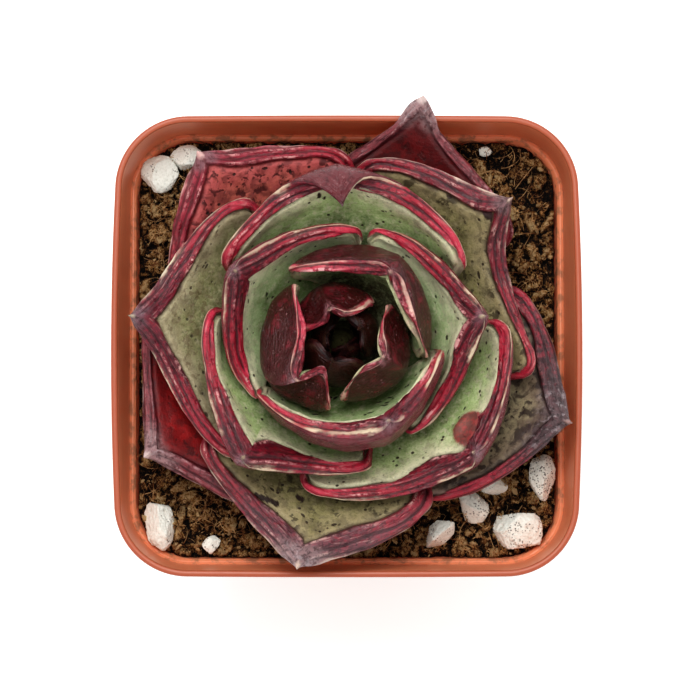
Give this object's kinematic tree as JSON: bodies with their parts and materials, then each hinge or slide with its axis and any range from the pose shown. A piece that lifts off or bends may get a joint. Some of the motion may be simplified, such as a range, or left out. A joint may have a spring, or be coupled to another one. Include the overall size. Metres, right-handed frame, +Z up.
{
  "type": "potted echeveria",
  "caption": "Low rosette succulent with broad fleshy red-edged leaves, planted in a small square nursery pot of gritty soil with perlite.",
  "frame": {"origin": "middle of the flat underside of the pot", "axes": "+Z up along the stem; +X and +Y square to the pot's sides, +Y towards the top of the picture"},
  "size_m": [0.0576, 0.058, 0.0685],
  "materials": {
    "pot": "satin terracotta-coloured moulded plastic with a thin light lip",
    "soil": "dark crumbly peat and coir mix with fibres",
    "stem": "short green succulent stem",
    "leaf": "waxy grey-green fleshy leaf with crimson and pink ridged margins and fine brown speckles",
    "bud_leaf": "waxy dark red young leaf with a light pink margin",
    "perlite": "white pitted mineral grain"
  },
  "bodies": {
    "root": {"pot": "pot", "soil": "soil", "stem": "stem", "leaf_01": "leaf", "leaf_02": "leaf", "leaf_03": "leaf", "leaf_04": "leaf", "leaf_05": "leaf", "leaf_06": "leaf", "leaf_07": "leaf", "leaf_08": "leaf", "leaf_09": "leaf", "leaf_10": "leaf", "leaf_11": "leaf", "leaf_12": "leaf", "leaf_13": "leaf", "leaf_14": "bud_leaf", "leaf_15": "bud_leaf", "leaf_16": "bud_leaf", "leaf_17": "bud_leaf", "leaf_18": "bud_leaf", "leaf_19": "bud_leaf", "leaf_20": "bud_leaf", "leaf_21": "bud_leaf", "perlite_01": "perlite", "perlite_02": "perlite", "perlite_03": "perlite", "perlite_04": "perlite", "perlite_05": "perlite", "perlite_06": "perlite", "perlite_07": "perlite", "perlite_08": "perlite", "perlite_09": "perlite", "perlite_10": "perlite"}
  },
  "joints": []
}
